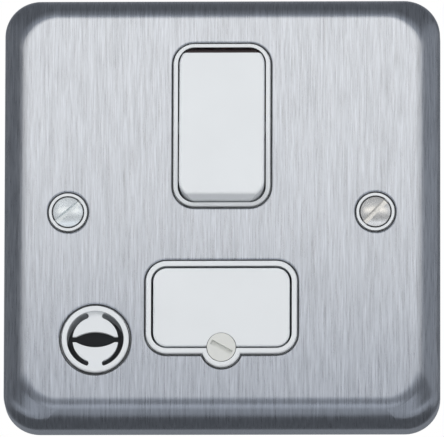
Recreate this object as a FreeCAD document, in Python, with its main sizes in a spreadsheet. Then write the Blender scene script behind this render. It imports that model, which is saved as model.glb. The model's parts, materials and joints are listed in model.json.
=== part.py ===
import FreeCAD, Part
import os
import re
import Sketcher

# A switched fused spur unit with a front flex outlet, in millimetres.
# X runs to the right and Z up, as seen from the room. The wall is the plane Y = 0 and the room lies
# at -Y. Heights are counted from the wall towards the room, so a height h is at Y = -h.

doc = FreeCAD.newDocument("fused_spur_unit")
dim = doc.addObject("Spreadsheet::Sheet", "dim")

# Driving dimensions. Every alias has an underscore, which is how bound() knows one in an expression.
SIZES = (
    ("plate_width", 85.5, "front plate, side to side"),
    ("plate_height", 85.5, "front plate, top to bottom"),
    ("plate_depth", 9.0, "front plate, wall to face"),
    ("plate_sheet", 1.0, "thickness of the plate's sheet"),
    ("plate_corner", 7.0, "front plate, corner radius at the wall and at the face"),
    ("plate_roll", 3.6, "roll of the plate's front edge"),
    ("punch_roll", 0.45, "rollover of the punched edges"),
    ("punch_gap", 0.17, "gap between the plate and what stands through it"),
    ("over_cut", 1.0, "how far a cut runs past the surface it opens"),
    ("pillar_diameter", 4.5, "plate pillar"),
    ("pillar_gap", 0.15, "gap round a pillar"),
    ("pillar_length", 2.4, "plate pillar, below the sheet"),
    ("pillar_side_top", 22.0, "upper plate pillars, off the middle line"),
    ("pillar_side", 14.0, "lower plate pillars, off the middle line"),
    ("pillar_rise", 35.6, "plate pillars, above and below the middle"),
    ("screw_spacing", 60.3, "fixing screws, centre to centre"),
    ("screw_diameter", 3.5, "fixing screw, thread"),
    ("screw_neck", 3.1, "fixing screw, plain neck under its head"),
    ("neck_foot", 0.5, "fixing screw, end of the neck above the wall plane"),
    ("screw_length", 25.0, "fixing screw, below its head"),
    ("screw_head", 6.2, "fixing screw, head diameter"),
    ("screw_rim", 0.3, "fixing screw, straight rim of the head"),
    ("screw_dome", 0.75, "fixing screw, rise of the head"),
    ("screw_slot", 1.0, "fixing screw, slot width"),
    ("screw_slot_depth", 1.15, "fixing screw, slot depth"),
    ("screw_angle_left", 40.0, "left fixing screw, slot angle"),
    ("screw_angle_right", 46.0, "right fixing screw, slot angle"),
    ("collar_diameter", 7.45, "screw collar"),
    ("collar_proud", 0.35, "screw collar above the plate"),
    ("collar_bore", 4.0, "screw collar, through hole"),
    ("collar_sunk", 0.1, "rim of the screw head below its collar"),
    ("head_gap", 0.12, "gap round a recessed screw head"),
    ("web_thickness", 2.6, "front moulding, web behind the plate"),
    ("web_margin", 4.2, "front moulding, web inside the plate's edge"),
    ("web_corner", 5.0, "front moulding, corner radius of the web"),
    ("bezel_proud", 0.8, "bezels above the plate"),
    ("bezel_roll", 0.35, "rounding of the bezels' edges"),
    ("switch_rise", 17.3, "switch centre above the middle"),
    ("switch_width", 19.0, "switch bezel, width"),
    ("switch_height", 32.4, "switch bezel, height"),
    ("switch_corner", 4.1, "switch bezel, corner radius"),
    ("switch_side_rim", 0.85, "switch bezel, rim at the sides"),
    ("switch_end_rim", 0.7, "switch bezel, rim at the ends"),
    ("switch_lip", 0.6, "switch bezel, depth of the lip at its ends"),
    ("chamber_room", 0.4, "switch chamber, room behind the lip"),
    ("chamber_wall", 1.85, "side walls of the chambers"),
    ("chamber_end", 1.6, "end walls of the switch chamber"),
    ("boss_wall", 1.6, "walls of the bosses"),
    ("rib_size", 2.4, "ribs that hold the terminals down"),
    ("fuse_drop", 19.0, "fuse drawer centre below the middle"),
    ("fuse_width", 29.6, "fuse bezel, width"),
    ("fuse_height", 18.4, "fuse bezel, height"),
    ("fuse_corner", 4.1, "fuse bezel, corner radius"),
    ("fuse_rim", 1.0, "fuse bezel, rim"),
    ("bump_radius", 3.9, "fuse bezel, bump round the drawer's screw"),
    ("bump_drop", 8.0, "bump centre below the drawer centre"),
    ("drawer_gap", 0.42, "gap round the fuse drawer"),
    ("drawer_sunk", 0.2, "fuse drawer below its bezel"),
    ("drawer_face", 2.6, "fuse drawer, thickness of its face"),
    ("drawer_skirt", 5.8, "fuse drawer, depth of its skirt"),
    ("drawer_wall", 1.3, "fuse drawer, wall of its skirt"),
    ("jaw_length", 10.4, "fuse drawer, jaws along the fuse"),
    ("jaw_thickness", 1.15, "fuse drawer, jaw"),
    ("jaw_mouth", 5.0, "fuse drawer, mouth of the jaws"),
    ("jaw_lip", 2.1, "fuse drawer, jaws below the fuse axis"),
    ("lug_height", 4.0, "fuse drawer, screw lug"),
    ("lock_head", 5.6, "drawer screw, head diameter"),
    ("lock_head_height", 2.3, "drawer screw, head"),
    ("lock_diameter", 3.0, "drawer screw, thread"),
    ("lock_neck", 2.3, "drawer screw, neck for its retainer"),
    ("lock_length", 13.0, "drawer screw, below its head"),
    ("lock_slot_length", 4.6, "drawer screw, slot length"),
    ("lock_slot_width", 0.95, "drawer screw, slot width"),
    ("lock_slot_depth", 1.0, "drawer screw, slot depth"),
    ("lock_angle", -29.0, "drawer screw, slot angle"),
    ("retainer_diameter", 4.8, "retainer of the drawer screw"),
    ("retainer_thickness", 0.6, "retainer of the drawer screw"),
    ("retainer_mouth", 1.8, "mouth of the retainer"),
    ("retainer_play", 0.1, "play of the retainer under the lug"),
    ("insert_diameter", 4.6, "threaded insert"),
    ("insert_length", 6.4, "threaded insert"),
    ("insert_boss", 6.3, "boss round the threaded insert"),
    ("insert_sunk", 0.6, "threaded insert behind the wall plane"),
    ("thread_gap", 0.05, "clearance of a screw in its thread"),
    ("rocker_height", 6.3, "rocker pivot above the wall"),
    ("rocker_side_gap", 0.28, "gap at each side of the rocker"),
    ("rocker_swing", 15.5, "radius of the rocker's ends about its pivot"),
    ("rocker_corner", 3.6, "rocker, corner radius"),
    ("rocker_crown", 4.35, "rocker face above the pivot, at its middle"),
    ("rocker_dish", 0.4, "rocker face, rise from the middle to the ends"),
    ("rocker_roll", 0.55, "rocker, rounding of the face's edge"),
    ("rocker_skirt", 3.6, "rocker, depth below its pivot"),
    ("rocker_wall", 1.6, "rocker, wall"),
    ("rocker_tilt", 6.0, "rocker, tilt each way from level"),
    ("trunnion_diameter", 2.6, "rocker, pivot pins"),
    ("trunnion_length", 1.8, "rocker, pivot pins beyond its sides"),
    ("pivot_skin", 0.1, "wall left outside the rocker's pins"),
    ("pivot_gap", 0.06, "radial clearance of the rocker's pins"),
    ("pole_spacing", 8.8, "switch poles, centre to centre"),
    ("tube_diameter", 5.2, "rocker, plunger guide"),
    ("tube_reach", 8.0, "rocker, plunger guide below the pivot"),
    ("tube_roof", 2.2, "rocker, floor of the guide above the pivot"),
    ("plunger_diameter", 2.9, "plunger"),
    ("plunger_gap", 0.1, "radial clearance of a plunger"),
    ("plunger_reach", 12.8, "plunger tip below the pivot"),
    ("plunger_length", 9.6, "plunger"),
    ("plunger_tip", 2.0, "plunger, height of its pointed tip"),
    ("plunger_nose", 1.0, "plunger, width of its nose"),
    ("spring_wire", 0.4, "plunger spring, wire"),
    ("spring_turns", 5.0, "plunger spring, turns"),
    ("tip_gap", 0.1, "plunger tip above a level blade"),
    ("blade_length", 18.0, "moving contact"),
    ("blade_width", 5.0, "moving contact"),
    ("blade_thickness", 0.8, "moving contact"),
    ("blade_tilt", 8.0, "moving contact, tilt each way"),
    ("blade_reach", 7.8, "contact tips from the blade's pivot"),
    ("knuckle_diameter", 1.6, "moving contact, pivot knuckle"),
    ("knuckle_gap", 0.05, "radial clearance of the knuckle"),
    ("tip_diameter", 2.6, "silver contact tip"),
    ("tip_height", 0.6, "silver contact tip"),
    ("tip_closed_gap", 0.1, "contact tips when closed"),
    ("base_depth", 18.0, "rear moulding behind the wall plane"),
    ("base_width", 34.0, "rear moulding, middle block"),
    ("base_top", 35.4, "rear moulding, top"),
    ("base_bottom", 32.2, "rear moulding, bottom"),
    ("base_corner", 1.6, "rear moulding, corner radius"),
    ("bank_reach", 27.0, "rear moulding, terminal banks from the middle"),
    ("bank_top", 31.0, "terminal banks, upper edge"),
    ("bank_foot", 7.0, "terminal banks, clear of the box lugs"),
    ("cavity_depth", 13.0, "switch cavity behind the wall plane"),
    ("cavity_length", 23.0, "switch cavity along Z"),
    ("stop_gap", 0.3, "resting blade above its stop"),
    ("fuse_floor", 8.0, "fuse cavity behind the wall plane"),
    ("fuse_axis", 3.9, "fuse axis behind the wall plane"),
    ("fuse_length", 25.4, "cartridge fuse"),
    ("fuse_diameter", 6.3, "cartridge fuse, caps"),
    ("fuse_cap", 6.0, "cartridge fuse, cap length"),
    ("fuse_cap_wall", 0.3, "cartridge fuse, cap wall"),
    ("fuse_gap", 0.08, "fuse in its jaws and clips"),
    ("clip_width", 4.2, "fuse clips"),
    ("clip_offset", 9.7, "fuse clips from the middle"),
    ("clip_sheet", 0.55, "fuse clips, sheet"),
    ("clip_reach", 2.2, "fuse clips above the fuse axis"),
    ("strip_sheet", 0.8, "brass strips"),
    ("strip_width", 4.0, "brass strips"),
    ("seat_gap", 0.2, "brass in its pockets"),
    ("terminal_width", 7.0, "terminal blocks along X"),
    ("terminal_height", 8.0, "terminal blocks along Z"),
    ("terminal_front", 5.0, "terminal blocks, front behind the wall plane"),
    ("terminal_rear", 14.0, "terminal blocks, rear behind the wall plane"),
    ("terminal_offset", 20.9, "outer terminal blocks from the middle"),
    ("conductor_bore", 4.0, "conductor holes"),
    ("conductor_depth", 8.6, "conductor holes behind the wall plane"),
    ("conductor_window", 4.8, "conductor windows in the rear moulding"),
    ("neutral_rise", 14.0, "load neutral terminal above the middle"),
    ("inner_offset", 12.3, "load live terminal from the middle"),
    ("inner_drop", 4.6, "load live terminal below the middle"),
    ("earth_drop", 14.0, "first earth hole below the middle"),
    ("earth_pitch", 11.0, "earth holes, centre to centre"),
    ("clamp_screw", 2.9, "terminal screws, thread"),
    ("clamp_head", 4.4, "terminal screws, head"),
    ("clamp_head_height", 1.8, "terminal screws, head height"),
    ("rear_slot", 0.9, "slots of the screws at the rear"),
    ("rear_slot_angle", 30.0, "slots of the screws at the rear, angle"),
    ("strip_drop", 1.4, "neutral strip below the switch centre"),
    ("post_depth", 3.0, "pivot posts along Z"),
    ("post_drop", 0.35, "pivot posts below the blades"),
    ("clamp_access", 5.0, "terminal screws, access holes"),
    ("case_screw", 2.4, "case screws, thread"),
    ("case_head", 4.4, "case screws, head"),
    ("case_side_top", 13.0, "upper case screws off the middle"),
    ("case_rise", 32.2, "upper case screws above the middle"),
    ("case_side_bottom", 11.0, "lower case screws off the middle"),
    ("case_head_height", 1.8, "case screws, head height"),
    ("case_sunk", 2.2, "case screws, depth of their recess"),
    ("case_reach", 4.4, "case screws above the wall plane"),
    ("case_drop", 29.6, "lower case screws below the middle"),
    ("flex_left", 24.7, "flex outlet, left of the middle"),
    ("flex_drop", 25.3, "flex outlet, below the middle"),
    ("ring_diameter", 13.2, "flex outlet ring"),
    ("ring_wall", 1.0, "flex outlet ring, wall"),
    ("ring_gap", 0.3, "gap round the flex outlet ring"),
    ("ring_flange", 16.0, "flex outlet, flange behind the web"),
    ("ring_reach", 3.6, "flex outlet, length behind the web"),
    ("flap_sunk", 0.85, "flex outlet, flaps below the ring"),
    ("flap_thickness", 1.1, "flex outlet, flaps"),
    ("flap_slot", 1.13, "flex outlet, width of the round slots"),
    ("flap_bridge", 2.6, "flex outlet, bridges at top and bottom"),
    ("lens_width", 7.5, "flex outlet, slit"),
    ("lens_height", 3.1, "flex outlet, middle of the slit"),
    ("lens_neck", 1.1, "flex outlet, ends of the slit"),
    ("hood_room", 6.6, "flex hood, room round the outlet's centre"),
    ("hood_wall", 1.5, "flex hood, walls"),
    ("hood_depth", 12.0, "flex hood behind the wall plane"),
    ("hood_top", 17.4, "flex hood, its open edge below the middle"),
    ("saddle_length", 15.0, "cord saddle along X"),
    ("saddle_height", 6.0, "cord saddle along Z"),
    ("saddle_left", 25.6, "cord saddle, left of the middle"),
    ("saddle_drop", 12.6, "cord saddle, below the middle"),
    ("saddle_depth", 2.0, "cord saddle behind the wall plane"),
    ("trough_radius", 4.2, "cord saddle, trough"),
    ("trough_depth", 1.7, "cord saddle, depth of the trough"),
    ("bar_gap", 5.3, "cord clamp, from the saddle to the bar"),
    ("bar_thickness", 3.2, "cord clamp bar"),
    ("bar_grip", 2.8, "cord clamp screws, beyond the saddle's face"),
    ("bar_rib", 0.7, "cord clamp bar, height of its rib"),
    ("rib_width", 1.4, "cord clamp bar, width of its rib"),
    ("bar_screws", 11.8, "cord clamp screws, centre to centre"),
    ("washer_head", 6.6, "plate screws, head"),
    ("washer_height", 1.6, "plate screws, head height"),
    ("strap_sheet", 0.7, "earth strap"),
    ("strap_width", 4.2, "earth strap"),
)

for row, (alias, value, note) in enumerate(SIZES, start=1):
    dim.set(f"A{row}", alias)
    dim.set(f"B{row}", str(value))
    dim.set(f"C{row}", note)
    dim.setAlias(f"B{row}", alias)
doc.recompute()

ALIAS = re.compile(r"\b[a-z]+(?:_[a-z]+)+\b")


def bound(text):
    """An expression on the sheet's sizes, as the document reads it."""
    return ALIAS.sub(r"dim.\g<0>", text)


def number(text):
    """The present value of such an expression."""
    found = dim.evalExpression(bound(text))
    return float(getattr(found, "Value", found))


def bind(target, settings):
    """Ties properties of an object to expressions."""
    for name, text in settings.items():
        target.setExpression(name, bound(text))


# Sketches: each is drawn round its own origin, and the origin is placed by the sheet.

def origin_part(body, role):
    return next(part for part in body.Origin.OriginFeatures if part.Role == role)


def sketch_on(body, name, role, right, up, out, turn=None):
    """A sketch on an origin plane, moved right and up in that plane and out along its normal."""
    sketch = body.newObject("Sketcher::SketchObject", name + "_outline")
    sketch.AttachmentSupport = [(origin_part(body, role), "")]
    sketch.MapMode = "FlatFace"
    bind(sketch, {
        "AttachmentOffset.Base.x": right,
        "AttachmentOffset.Base.y": up,
        "AttachmentOffset.Base.z": out,
    })
    if turn:
        bind(sketch, {"AttachmentOffset.Rotation.Angle": turn})
    return sketch


def point(x, y):
    return FreeCAD.Vector(x, y, 0)


def measure(sketch, kind, geometry, text):
    """Adds one dimension, worked out from the sheet."""
    index = sketch.addConstraint(Sketcher.Constraint(kind, *geometry, number(text)))
    bind(sketch, {f"Constraints[{index}]": text})


def dome_radius(reach, rise):
    """The radius of an arc that rises by this much over this reach."""
    return f"((({reach}) ^ 2 + ({rise}) ^ 2) / (2 * ({rise})))"


def circle(diameter):
    def draw(sketch):
        ring = sketch.addGeometry(Part.Circle(point(0, 0), FreeCAD.Vector(0, 0, 1), number(diameter) / 2))
        sketch.addConstraint(Sketcher.Constraint("Coincident", ring, 3, -1, 1))
        measure(sketch, "Diameter", (ring,), diameter)
    return draw


def both(*shapes):
    """Several shapes in one sketch: an inner one is a hole in the outer."""
    def draw(sketch):
        for shape in shapes:
            shape(sketch)
    return draw


def round_slot(radius, width, bridge):
    """A slot round the origin's right side, whose round ends lie half a bridge from the upright axis."""
    def draw(sketch):
        outer = number(radius)
        inner = outer - number(width)
        cap = (outer - inner) / 2
        middle = outer - cap
        side = number(bridge) / 2 + cap
        rise = (middle ** 2 - side ** 2) ** 0.5
        top = point(side, rise) * (1 / middle)
        foot = point(side, -rise) * (1 / middle)
        around = point(-top.y, top.x) * cap
        back = point(foot.y, -foot.x) * cap
        arcs = [sketch.addGeometry(arc) for arc in (
            Part.Arc(foot * outer, point(outer, 0), top * outer),
            Part.Arc(top * outer, top * middle + around, top * inner),
            Part.Arc(foot * inner, point(inner, 0), top * inner),
            Part.Arc(foot * inner, foot * middle + back, foot * outer),
        )]
        for arc in (arcs[0], arcs[2]):
            sketch.addConstraint(Sketcher.Constraint("Coincident", arc, 3, -1, 1))
        for one, end, other, start in ((0, 2, 1, 1), (1, 2, 2, 2), (2, 1, 3, 1), (3, 2, 0, 1)):
            sketch.addConstraint(Sketcher.Constraint("Tangent", arcs[one], end, arcs[other], start))
        measure(sketch, "Radius", (arcs[0],), radius)
        measure(sketch, "Radius", (arcs[2],), f"{radius} - {width}")
        for arc in (arcs[1], arcs[3]):
            measure(sketch, "DistanceX", (-1, 1, arc, 3), f"({bridge} + {width}) / 2")
    return draw


def lens(width, height, neck):
    """A slit between two arcs, of this height in the middle and the neck's height at its ends."""
    def draw(sketch):
        a = number(width) / 2
        b = number(height) / 2
        c = number(neck) / 2
        sides = [sketch.addGeometry(side) for side in (
            Part.Arc(point(a, c), point(0, b), point(-a, c)),
            Part.LineSegment(point(-a, c), point(-a, -c)),
            Part.Arc(point(-a, -c), point(0, -b), point(a, -c)),
            Part.LineSegment(point(a, -c), point(a, c)),
        )]
        for i in range(4):
            sketch.addConstraint(Sketcher.Constraint("Coincident", sides[i], 2, sides[i - 3], 1))
        for side in (sides[1], sides[3]):
            sketch.addConstraint(Sketcher.Constraint("Vertical", side))
        sketch.addConstraint(Sketcher.Constraint("Symmetric", sides[0], 1, sides[2], 1, -1, 1))
        sketch.addConstraint(Sketcher.Constraint("Equal", sides[0], sides[2]))
        measure(sketch, "DistanceX", (sides[0], 2, sides[0], 1), width)
        measure(sketch, "DistanceY", (sides[3], 1, sides[3], 2), neck)
        measure(sketch, "Radius", (sides[0],), dome_radius(f"({width}) / 2", f"(({height}) - ({neck})) / 2"))
    return draw


def rectangle(width, height):
    def draw(sketch):
        a = number(width) / 2
        b = number(height) / 2
        corners = [point(-a, -b), point(a, -b), point(a, b), point(-a, b)]
        sides = [sketch.addGeometry(Part.LineSegment(corners[i - 4], corners[i - 3])) for i in range(4)]
        for i in range(4):
            sketch.addConstraint(Sketcher.Constraint("Coincident", sides[i], 2, sides[i - 3], 1))
            direction = "Vertical" if i % 2 else "Horizontal"
            sketch.addConstraint(Sketcher.Constraint(direction, sides[i]))
        sketch.addConstraint(Sketcher.Constraint("Symmetric", sides[0], 1, sides[2], 1, -1, 1))
        measure(sketch, "DistanceX", (sides[0], 1, sides[0], 2), width)
        measure(sketch, "DistanceY", (sides[1], 1, sides[1], 2), height)
    return draw


def rounded(width, height, radius):
    def draw(sketch):
        a = number(width) / 2
        b = number(height) / 2
        r = number(radius)
        starts = [point(r - a, -b), point(a, r - b), point(a - r, b), point(-a, b - r)]
        ends = [point(a - r, -b), point(a, b - r), point(r - a, b), point(-a, r - b)]
        centres = [point(a - r, r - b), point(a - r, b - r), point(r - a, b - r), point(r - a, r - b)]
        sides = [sketch.addGeometry(Part.LineSegment(starts[i], ends[i])) for i in range(4)]
        bends = []
        for i in range(4):
            middle = centres[i] + (ends[i] + starts[i - 3] - centres[i] * 2).normalize() * r
            bends.append(sketch.addGeometry(Part.Arc(ends[i], middle, starts[i - 3])))
        for i in range(4):
            sketch.addConstraint(Sketcher.Constraint("Tangent", sides[i], 2, bends[i], 1))
            sketch.addConstraint(Sketcher.Constraint("Tangent", bends[i], 2, sides[i - 3], 1))
            direction = "Vertical" if i % 2 else "Horizontal"
            sketch.addConstraint(Sketcher.Constraint(direction, sides[i]))
        for i in range(1, 4):
            sketch.addConstraint(Sketcher.Constraint("Equal", bends[0], bends[i]))
        sketch.addConstraint(Sketcher.Constraint("Symmetric", bends[0], 3, bends[2], 3, -1, 1))
        measure(sketch, "Radius", (bends[0],), radius)
        measure(sketch, "DistanceX", (sides[3], 1, sides[1], 1), width)
        measure(sketch, "DistanceY", (sides[0], 1, sides[2], 1), height)
    return draw


def polygon(corners, dome=None):
    """A closed outline through (right, up) corners, counter-clockwise. With a dome, the last side but one
    is an arc about the upright axis, and dome is its rise."""
    def draw(sketch):
        places = [point(number(right), number(up)) for right, up in corners]
        count = len(places)
        sides = []
        for i in range(count):
            if dome and i == count - 2:
                radius = dome_radius(corners[i][0], dome)
                centre = places[i + 1] - point(0, number(radius))
                middle = centre + (places[i] + places[i + 1] - centre * 2).normalize() * number(radius)
                sides.append(sketch.addGeometry(Part.Arc(places[i], middle, places[i + 1])))
                measure(sketch, "Radius", (sides[i],), radius)
            else:
                sides.append(sketch.addGeometry(Part.LineSegment(places[i], places[(i + 1) % count])))
        for i, (right, up) in enumerate(corners):
            sketch.addConstraint(Sketcher.Constraint("Coincident", sides[i - 1], 2, sides[i], 1))
            for kind, text, axis in (("DistanceX", right, -2), ("DistanceY", up, -1)):
                if text == "0":
                    sketch.addConstraint(Sketcher.Constraint("PointOnObject", sides[i], 1, axis))
                else:
                    measure(sketch, kind, (-1, 1, sides[i], 1), text)
    return draw


# Features. A pad grows towards the room and a pocket cuts away from it, unless flip is set.

def feature(body, kind, name, sketch, settings, **flags):
    made = body.newObject("PartDesign::" + kind, name)
    made.Profile = sketch
    for flag, value in flags.items():
        setattr(made, flag, value)
    bind(made, settings)
    body.Tip = made
    return made


def pad(body, name, draw, x, z, start, length, flip=False):
    sketch = sketch_on(body, name, "XZ_Plane", x, z, start)
    draw(sketch)
    return feature(body, "Pad", name, sketch, {"Length": length}, Reversed=flip)


def pocket(body, name, draw, x, z, start, depth, flip=False):
    sketch = sketch_on(body, name, "XZ_Plane", x, z, start)
    draw(sketch)
    return feature(body, "Pocket", name, sketch, {"Length": depth}, Reversed=flip)


def across(body, kind, name, draw, x, z, height, length, role="YZ_Plane"):
    """A pad or pocket along X (or along Z on XY_Plane), centred at x, z and a height."""
    if role == "YZ_Plane":
        sketch = sketch_on(body, name, role, f"-({height})", z, x)
    else:
        sketch = sketch_on(body, name, role, x, f"-({height})", z)
    draw(sketch)
    return feature(body, kind, name, sketch, {"Length": length}, Midplane=True)


def edges_where(shaped, test):
    """Names of a feature's edges whose bounding box passes a test."""
    doc.recompute()
    return [f"Edge{i}" for i, edge in enumerate(shaped.Shape.Edges, start=1) if test(edge.BoundBox)]


def at_height(height, slack=0.01):
    level = -number(height)
    return lambda box: abs(box.YMin - level) < slack and abs(box.YMax - level) < slack


def fillet(body, name, base, edges, radius):
    made = body.newObject("PartDesign::Fillet", name)
    made.Base = (base, edges)
    bind(made, {"Radius": radius})
    body.Tip = made
    return made


NODES = []


def new_body(label, kept=True):
    body = doc.addObject("PartDesign::Body", label)
    body.Label = label
    if kept:
        NODES.append(body)
    return body


def group(label, members):
    """Like pieces that share one node, each a solid of its own."""
    made = doc.addObject("Part::Compound", label)
    made.Label = label
    made.Links = members
    NODES.append(made)
    return made


def place(body, x, height, z, angle=None):
    """Puts a body's own origin at x, height and z, tilted about X by an angle."""
    if angle is not None:
        body.Placement = FreeCAD.Placement(FreeCAD.Vector(), FreeCAD.Rotation(FreeCAD.Vector(1, 0, 0), 45))
        bind(body, {"Placement.Rotation.Angle": angle})
    bind(body, {"Placement.Base.x": x, "Placement.Base.y": f"-({height})", "Placement.Base.z": z})


def turned(label, profile, kept=True, dome=None):
    """A piece turned about its own Z from (radius, height) corners."""
    body = new_body(label, kept)
    sketch = sketch_on(body, label, "XZ_Plane", "0", "0", "0")
    polygon(profile, dome)(sketch)
    made = feature(body, "Revolution", label + "_turning", sketch, {})
    made.ReferenceAxis = (sketch, ["V_Axis"])
    made.Angle = 360
    return body


# Places worked out from the sizes

FACE = "plate_depth"
WEB_FRONT = "(plate_depth - plate_sheet)"
WEB_REAR = "(plate_depth - plate_sheet - web_thickness)"
BEZEL = "(plate_depth + bezel_proud)"
COLLAR = "(plate_depth + collar_proud)"
SWITCH_OPENING = "(switch_width - 2 * switch_side_rim)"
SWITCH_ENDS = "(switch_height - 2 * switch_end_rim)"
CHAMBER_ENDS = "(2 * rocker_swing + 2 * chamber_room)"
FUSE_Z = "(-fuse_drop)"
FUSE_OPENING = "(fuse_width - 2 * fuse_rim)"
FUSE_ENDS = "(fuse_height - 2 * fuse_rim)"
LOCK_Z = "(-fuse_drop - bump_drop)"
LOCK_BORE = "(lock_head + 2 * head_gap)"
LOCK_SEAT = "(plate_depth + bezel_proud - lock_head_height)"
FLEX_X = "(-flex_left)"
FLEX_Z = "(-flex_drop)"
POLE = "(pole_spacing / 2)"
BLADE_PIVOT = "(rocker_height - plunger_reach - tip_gap - blade_thickness)"
TIP_Z = "(switch_rise + blade_reach)"
FIXED_TIP = ("(rocker_height - plunger_reach - tip_gap - blade_thickness - tip_closed_gap"
             " - tip_height * cos(blade_tilt * 1 deg)"
             " - (blade_reach + tip_diameter / 2) * sin(blade_tilt * 1 deg))")
CAVITY = "(-cavity_depth)"
FLOOR = "(-base_depth)"
FUSE_FLOOR = "(-fuse_floor)"
FUSE_AXIS = "(-fuse_axis)"
ARM_TOP = f"({FIXED_TIP} - tip_height)"
OUTER = "terminal_offset"
EARTH_MIDDLE = "(-earth_drop - earth_pitch / 2)"

# Conductor holes: side of the hole, and the x and z of its clamping screw
CONDUCTORS = (
    (1, OUTER, TIP_Z),
    (-1, f"-{OUTER}", TIP_Z),
    (-1, f"-{OUTER}", "neutral_rise"),
    (-1, "-inner_offset", "-inner_drop"),
    (1, OUTER, "-earth_drop"),
    (1, OUTER, "(-earth_drop - earth_pitch)"),
)
RIBS = [(x, z) for side, x, z in CONDUCTORS[:5]]


# Front plate: pressed sheet whose rolled edge keeps one corner radius from the wall to the face, so
# that the roll is broader at the corners than at the sides

front_plate = new_body("front_plate")
pad(front_plate, "sides", rounded("plate_width", "plate_height", "plate_corner"), "0", "0", "0",
    "plate_depth - plate_roll")
ROLL_STRETCHES = 6
roll = []
for section in range(ROLL_STRETCHES + 1):
    rise = f"{section} / {ROLL_STRETCHES} * 90 * 1 deg"
    inset = f"plate_roll * (1 - cos({rise}))"
    roll.append(sketch_on(front_plate, "roll", "XZ_Plane", "0", "0",
                          f"plate_depth - plate_roll * (1 - sin({rise}))"))
    rounded(f"plate_width - 2 * {inset}", f"plate_height - 2 * {inset}", "plate_corner")(roll[-1])
feature(front_plate, "AdditiveLoft", "rolled_edge", roll[0], {}, Sections=roll[1:])
hollow = new_body("plate_hollow", kept=False)
inside = pad(hollow, "inside", rounded("plate_width - 2 * plate_sheet", "plate_height - 2 * plate_sheet",
                                       "plate_corner"), "0", "0", "0", WEB_FRONT)
fillet(hollow, "inner_roll", inside, edges_where(inside, at_height(WEB_FRONT)), "plate_roll - plate_sheet")
sheet = front_plate.newObject("PartDesign::Boolean", "sheet")
sheet.setObjects([hollow])
sheet.Type = "Cut"
front_plate.Tip = sheet
PUNCHED = (
    ("switch_cutout", rounded("switch_width + 2 * punch_gap", "switch_height + 2 * punch_gap",
                              "switch_corner + punch_gap"), "0", "switch_rise"),
    ("fuse_cutout", rounded("fuse_width + 2 * punch_gap", "fuse_height + 2 * punch_gap",
                            "fuse_corner + punch_gap"), "0", FUSE_Z),
    ("bump_cutout", circle("2 * (bump_radius + punch_gap)"), "0", LOCK_Z),
    ("flex_cutout", circle("ring_diameter + 2 * ring_gap"), FLEX_X, FLEX_Z),
    ("left_cutout", circle("collar_diameter + 2 * punch_gap"), "-screw_spacing / 2", "0"),
    ("right_cutout", circle("collar_diameter + 2 * punch_gap"), "screw_spacing / 2", "0"),
)
for name, draw, x, z in PUNCHED:
    punched = pocket(front_plate, name, draw, x, z, "plate_depth + over_cut", "plate_sheet + 2 * over_cut")
flat = number("plate_width / 2 - plate_roll - over_cut")
on_face = at_height(FACE)
edges = edges_where(punched, lambda box: on_face(box) and max(box.XMax, -box.XMin) < flat
                    and max(box.ZMax, -box.ZMin) < flat)
fillet(front_plate, "punched_edges", punched, edges, "punch_roll")
PILLARS = [(f"{side} * {off}", level) for side in (-1, 1)
           for off, level in (("pillar_side", "-pillar_rise"), ("pillar_side_top", "pillar_rise"))]
for x, z in PILLARS:
    pad(front_plate, "pillar", circle("pillar_diameter"), x, z, f"{WEB_FRONT} - pillar_length",
        "pillar_length")
for x, z in PILLARS:
    pocket(front_plate, "pillar_thread", circle("case_screw + 2 * thread_gap"), x, z,
           WEB_FRONT, "pillar_length + over_cut")


# Front moulding: a web behind the plate, with bezels and collars that stand through it

front_moulding = new_body("front_moulding")
pad(front_moulding, "web", rounded("plate_width - 2 * web_margin", "plate_height - 2 * web_margin",
                                   "web_corner"), "0", "0", WEB_REAR, "web_thickness")
pad(front_moulding, "switch_bezel", rounded("switch_width", "switch_height", "switch_corner"),
    "0", "switch_rise", WEB_REAR, f"{BEZEL} - {WEB_REAR}")
pad(front_moulding, "fuse_bezel", rounded("fuse_width", "fuse_height", "fuse_corner"),
    "0", FUSE_Z, WEB_REAR, f"{BEZEL} - {WEB_REAR}")
bezels = pad(front_moulding, "bump", circle("2 * bump_radius"), "0", LOCK_Z, WEB_REAR,
             f"{BEZEL} - {WEB_REAR}")
fillet(front_moulding, "bezel_edges", bezels, edges_where(bezels, at_height(BEZEL)), "bezel_roll")
for side in (-1, 1):
    pad(front_moulding, "collar", circle("collar_diameter"), f"{side} * screw_spacing / 2", "0",
        WEB_REAR, f"{COLLAR} - {WEB_REAR}")
pad(front_moulding, "switch_chamber",
    rounded(f"{SWITCH_OPENING} + 2 * chamber_wall", f"{CHAMBER_ENDS} + 2 * chamber_end", "switch_corner"),
    "0", "switch_rise", "0", WEB_REAR)
pad(front_moulding, "fuse_chamber",
    rounded(f"{FUSE_OPENING} + 2 * chamber_wall", f"{FUSE_ENDS} + 2 * chamber_wall", "fuse_corner"),
    "0", FUSE_Z, "0", WEB_REAR)
pad(front_moulding, "lock_boss", circle(f"{LOCK_BORE} + 2 * boss_wall"), "0", LOCK_Z, "0", WEB_REAR)
pad(front_moulding, "saddle", rectangle("saddle_length", "saddle_height"), "-saddle_left",
    "-saddle_drop", "-saddle_depth", f"saddle_depth + {WEB_REAR}")
CASE_SCREWS = [(f"{side} * {off}", level) for side in (-1, 1)
               for off, level in (("case_side_top", "case_rise"), ("case_side_bottom", "-case_drop"))]
for x, z in CASE_SCREWS:
    pad(front_moulding, "case_boss", circle("case_screw + 2 * boss_wall"), x, z, "0", WEB_REAR)
for x, z in RIBS:
    pad(front_moulding, "holding_rib", rectangle("rib_size", "rib_size"), x, z,
        "-terminal_front", f"terminal_front + {WEB_REAR}")
SWITCH_CORNER = "(switch_corner - switch_side_rim)"
THROUGH = (f"{BEZEL} + over_cut", f"{BEZEL} + 2 * over_cut")
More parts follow.
